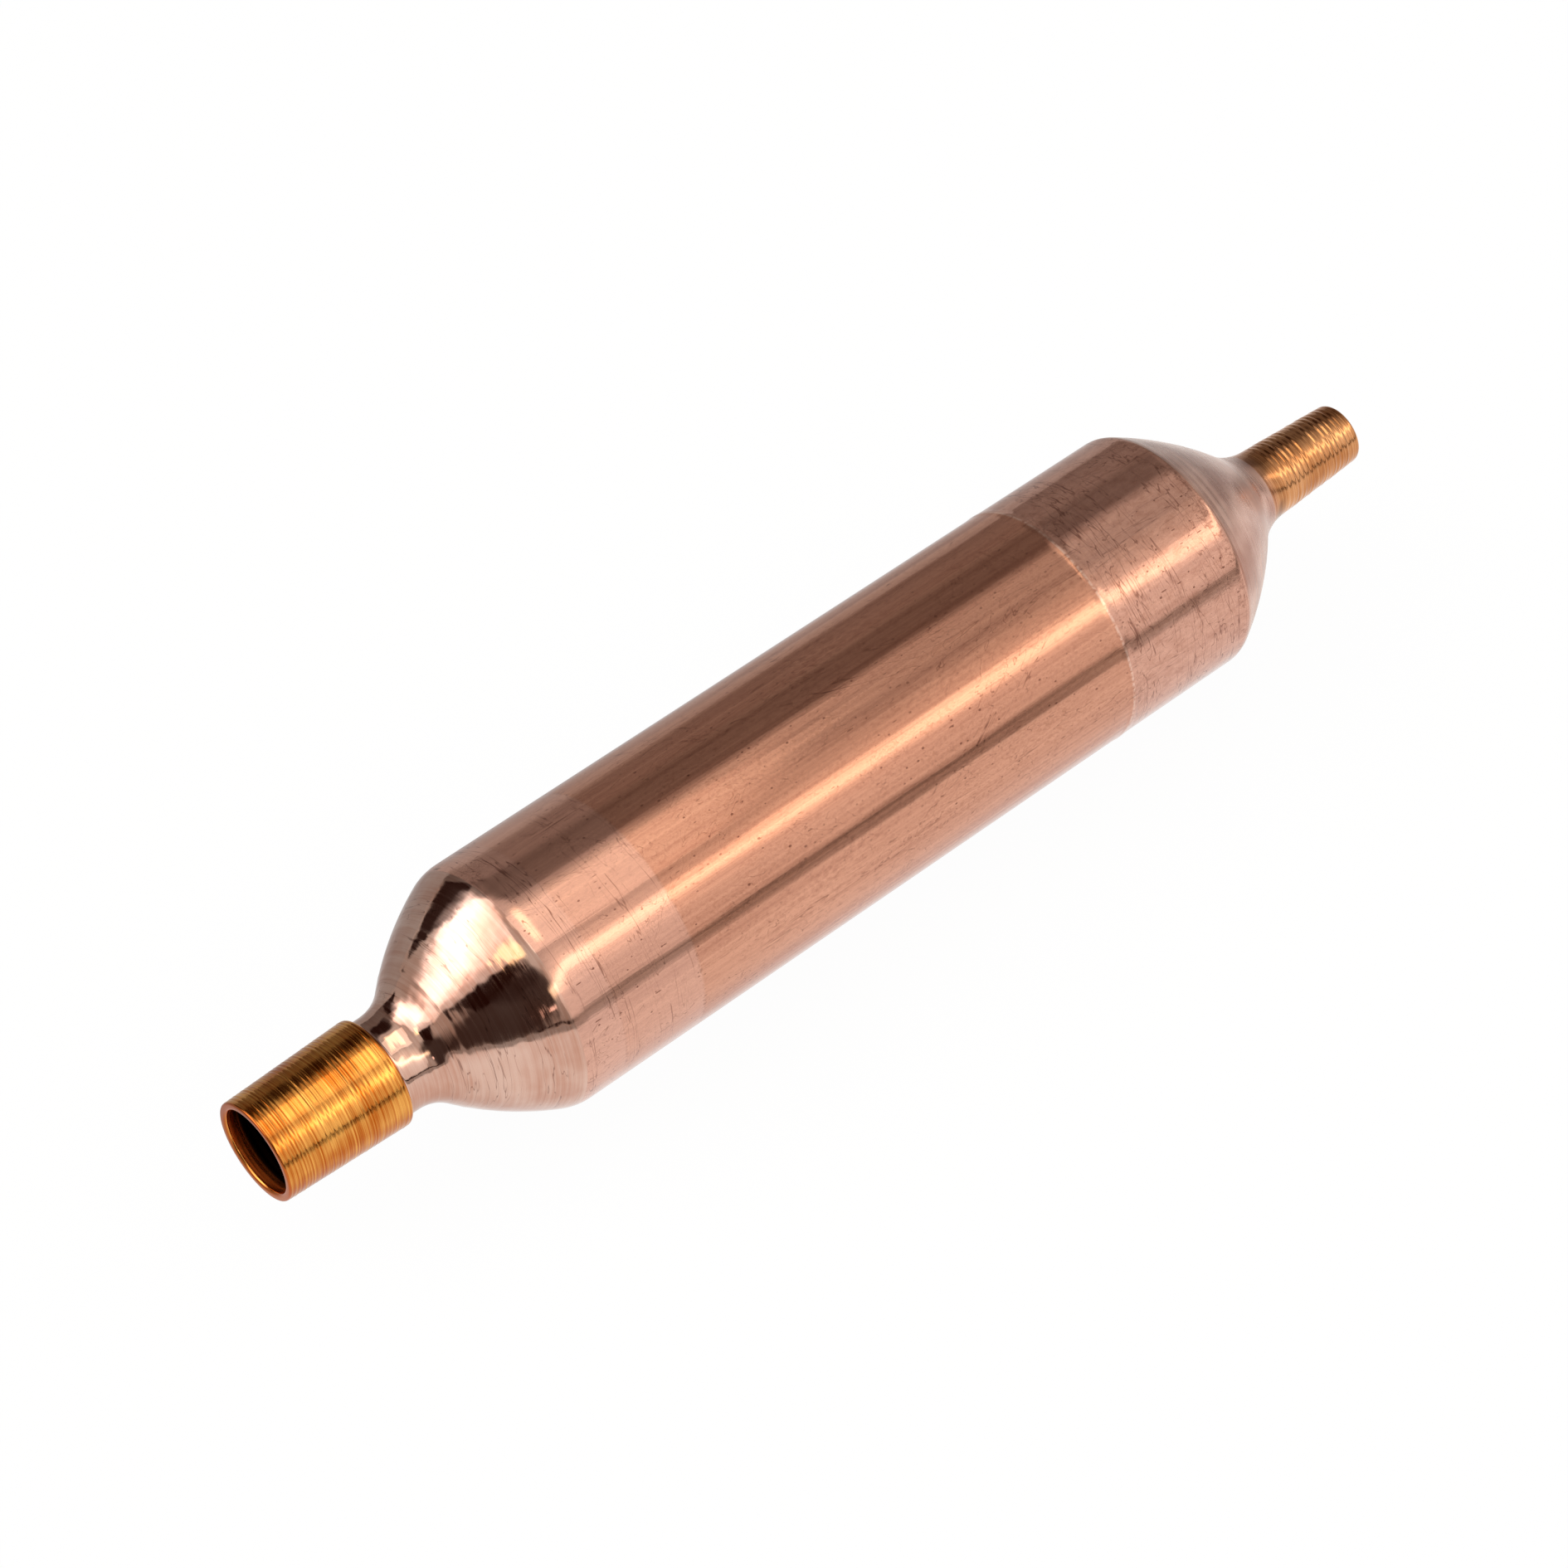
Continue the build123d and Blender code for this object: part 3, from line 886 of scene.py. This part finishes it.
studio = {
    "floorDrop": 0.1,               # floor under the lowest point of the object
    "floorSize": 4000,
    "floorColour": "#f4f4f4",
    "floorShow": 0.97,              # share of plain white in what the camera sees
    "floorShine": 0.95,             # the same for reflections
    # in reflections the table is lit around one place, and twice as far along X as along Y
    "litAlong": 50,                 # that place, towards the outlet along X
    "litMiddle": -70,               # and towards the camera along Y
    "litStretch": 2.0,
    "litNear": 70,                  # how far out along Y it is evenly lit
    "litFar": 112,                  # and where its light has fallen off
    "farLight": 0.38,               # share of the light left further out
    "roomLow": "#b9b4b0", "roomHigh": "#dcd8d4",
    "roomTop": 0.9,                 # sine of the height where the room is palest
    "dark": "#2a140f",
    # turn, height, half width, half height, softness of the edge, strength
    "shades": (
        (-47, 23, 21, 25, 0.12, 0.91),      # whoever stands at the camera
        (-75, 41, 14.5, 12, 0.03, 0.97),    # the camera itself
        (-60, 40, 16, 10, 0.10, 0.60),
        (150, 20, 36, 36, 0.15, 0.69),      # dark far side of the room
        (156, 44, 18, 14, 0.10, 0.72),
        (159, 44, 7, 13, 0.04, 0.88),
        (-166, 18, 11, 15, 0.03, 0.97),     # doorway
        (28, 3.8, 60, 1.7, 0.010, 0.95),    # gap between table and soft box
        (80, 55, 26, 16, 0.30, 0.35),       # dim end of the ceiling, and of the room under it
        (88, 30, 30, 22, 0.25, 0.25),
    ),
    # the same, with the lamp's colour
    "lamps": (
        (32, 26, 42, 20, 0.03, 0.46, "#ffffff"),     # soft box at the front
        (34, 47, 40, 12, 0.20, 0.50, "#fff6e8"),     # its bulb
        (26, 41, 45, 3.3, 0.10, 2.1, "#fff0d0"),
        (-120, 48, 30, 21, 0.05, 0.95, "#ffffff"),   # soft box at the left, with its bulb
        (-130, 42, 24, 14, 0.25, 2.4, "#fbfbff"),
        (-75, 58, 9, 4.5, 0.03, 1.6, "#fff2b0"),     # strip lights
        (-28, 16, 2.2, 2.4, 0.02, 1.6, "#ffe8e0"),
        (90, 79, 16, 7, 0.04, 1.4, "#fff0c8"),       # bare bulb overhead
    ),
    # lamp over the inlet end, close enough that the outlet end gets less of it
    "overheadPlace": (8, -20, 220),
    "overheadSize": (164, 150),
    "overheadShine": 0.62,
    "overheadColour": (1.0, 0.95, 0.85),
}


# Direction from the object, from a turn about Z (0 towards -Y, 90 towards +X) and a height.
def direction(turn, height):
    a, e = math.radians(turn), math.radians(height)
    return Vector((math.sin(a) * math.cos(e), -math.cos(a) * math.cos(e), math.sin(e)))


# One rectangle of light or shade in the surroundings, seen from the object: 1 inside, easing
# to 0 over its edge. Its sides are slopes, the sideways part over the forward part.
def panel(tree, toward, turn, height, halfWidth, halfHeight, edge):
    leastAhead = 0.02               # keeps the slopes finite, and drops what lies behind
    middle = direction(turn, height)
    side = Vector((0, 0, 1)).cross(middle).normalized()
    forward = node(tree, "VectorMath", {0: toward, 1: middle}, out="Value", operation="DOT_PRODUCT")
    ahead = node(tree, "Math", {0: forward, 1: leastAhead}, operation="MAXIMUM")
    inside = node(tree, "Math", {0: forward, 1: leastAhead}, operation="GREATER_THAN")
    for axis, half in ((side, halfWidth), (middle.cross(side), halfHeight)):
        sideways = node(tree, "VectorMath", {0: toward, 1: axis}, out="Value", operation="DOT_PRODUCT")
        slope = node(tree, "Math", {0: sideways, 1: ahead}, operation="DIVIDE")
        slope = node(tree, "Math", {0: slope}, operation="ABSOLUTE")
        reach = math.tan(math.radians(half))
        within = ramp(tree, slope, reach + edge, reach - edge)
        inside = node(tree, "Math", {0: inside, 1: within}, **times)
    return inside


# Soft white studio: a pale room with dark gaps in it and soft boxes. Camera rays see white.
def makeWorld():
    world = bpy.data.worlds.new("studio")
    bpy.context.scene.world = world
    world.use_nodes = True
    tree = world.node_tree
    tree.nodes.clear()
    toward = node(tree, "TexCoord", out="Generated")
    height = node(tree, "SeparateXYZ", {0: toward}, out=2)
    height = ramp(tree, height, 0.0, studio["roomTop"])
    low, high = linear(studio["roomLow"]), linear(studio["roomHigh"])
    room = node(tree, "Mix", {0: height, 6: low, 7: high}, **rgba)
    for *place, strength in studio["shades"]:
        room = over(tree, room, studio["dark"], panel(tree, toward, *place), strength)
    light = node(tree, "Background", {"Color": room, "Strength": 1.0})
    for *place, strength, colour in studio["lamps"]:
        glow = node(tree, "Math", {0: panel(tree, toward, *place), 1: strength}, **times)
        lamp = node(tree, "Background", {"Color": linear(colour), "Strength": glow})
        light = node(tree, "AddShader", {0: light, 1: lamp})
    white = node(tree, "Background", {"Color": linear("#ffffff"), "Strength": 1.0})
    seen = node(tree, "LightPath", out="Is Camera Ray")
    node(tree, "OutputWorld", {"Surface": node(tree, "MixShader", {0: seen, 1: light, 2: white})})


# Blender's power of an area lamp for a brightness: four times brightness times area.
def makeOverhead():
    width, depth = [size * mm for size in studio["overheadSize"]]
    lamp = bpy.data.lights.new("overhead", "AREA")
    lamp.shape = "RECTANGLE"
    lamp.size = width
    lamp.size_y = depth
    lamp.energy = 4 * width * depth * studio["overheadShine"]
    lamp.color = studio["overheadColour"]
    holder = bpy.data.objects.new("overhead", lamp)
    holder.location = Vector(studio["overheadPlace"]) * mm
    holder.visible_camera = False
    bpy.context.scene.collection.objects.link(holder)


# White table. The camera sees it nearly plain white, with the object's shadow. Reflections see
# it lit up to a distance from one place, and dimmer past that.
def makeFloor():
    s = studio
    half, low = s["floorSize"] / 2, cadBox[0].z / mm - s["floorDrop"]
    corners = np.array([(-half, -half, low), (half, -half, low), (half, half, low), (-half, half, low)])
    floor = meshPiece("floor", corners, np.array([[0, 1, 2, 3]]))
    material, tree = newMaterial("whiteTable")
    card = node(tree, "BsdfDiffuse", {"Color": linear(s["floorColour"])})
    rays = node(tree, "LightPath").node.outputs
    seen = node(tree, "Math", {0: rays["Is Camera Ray"], 1: s["floorShow"]}, **times)
    bent = {0: rays["Is Glossy Ray"], 1: rays["Is Transmission Ray"]}
    bent = node(tree, "Math", bent, operation="MAXIMUM")
    bent = node(tree, "Math", {0: bent, 1: s["floorShine"]}, **times)
    share = node(tree, "Math", {0: bent, 1: seen}, operation="MAXIMUM")
    # distance from the lit place: the length of (x / stretch, y)
    place = {0: node(tree, "TexCoord", out="Object"), 1: (1 / s["litStretch"], 1.0, 0.0),
             2: (-s["litAlong"] / s["litStretch"] * mm, -s["litMiddle"] * mm, 0)}
    away = node(tree, "VectorMath", place, operation="MULTIPLY_ADD")
    away = node(tree, "VectorMath", {0: away}, out="Value", operation="LENGTH")
    near, far = s["litNear"] * mm, s["litFar"] * mm
    lit = ramp(tree, away, near, far, 1.0, s["farLight"])
    lit = node(tree, "Math", {0: lit, 1: rays["Is Camera Ray"]}, operation="MAXIMUM")
    glow = node(tree, "Emission", {"Color": linear("#ffffff"), "Strength": lit})
    table = node(tree, "MixShader", {0: share, 1: card, 2: glow})
    # nothing of it shows from underneath, so that the object can be looked at from there
    under = node(tree, "NewGeometry", out="Backfacing")
    table = node(tree, "MixShader", {0: under, 1: table, 2: node(tree, "BsdfTransparent")})
    node(tree, "OutputMaterial", {"Surface": table})
    floor.data.materials.append(material)


makeWorld()
makeOverhead()
makeFloor()
print("studio made")


camera = {
    "turn": -40.903,                # degrees about Z, 0 looks along +Y
    "height": 49.909,
    "lens": 114.63,
    "sensor": 36,
    "distance": 350.0,
    "aim": (-3.11, 0, 0),           # point on the axis that the view is set by
    "right": -0.814,                # small slide of the camera across the view
    "up": 0.646,
}


def makeCamera():
    back = direction(camera["turn"], camera["height"])
    right = Vector((0, 0, 1)).cross(back).normalized()
    up = back.cross(right)
    lens = bpy.data.cameras.new("camera")
    lens.lens = camera["lens"]
    lens.sensor_width = camera["sensor"]
    lens.clip_start = 0.01
    holder = bpy.data.objects.new("camera", lens)
    bpy.context.scene.collection.objects.link(holder)
    centre = Vector(camera["aim"]) + back * camera["distance"]
    centre += right * camera["right"] + up * camera["up"]
    holder.matrix_world = Matrix.Translation(centre * mm) @ Matrix((right, up, back)).transposed().to_4x4()
    bpy.context.scene.camera = holder


makeCamera()
bpy.context.scene.view_settings.view_transform = "Standard"

print("finished")
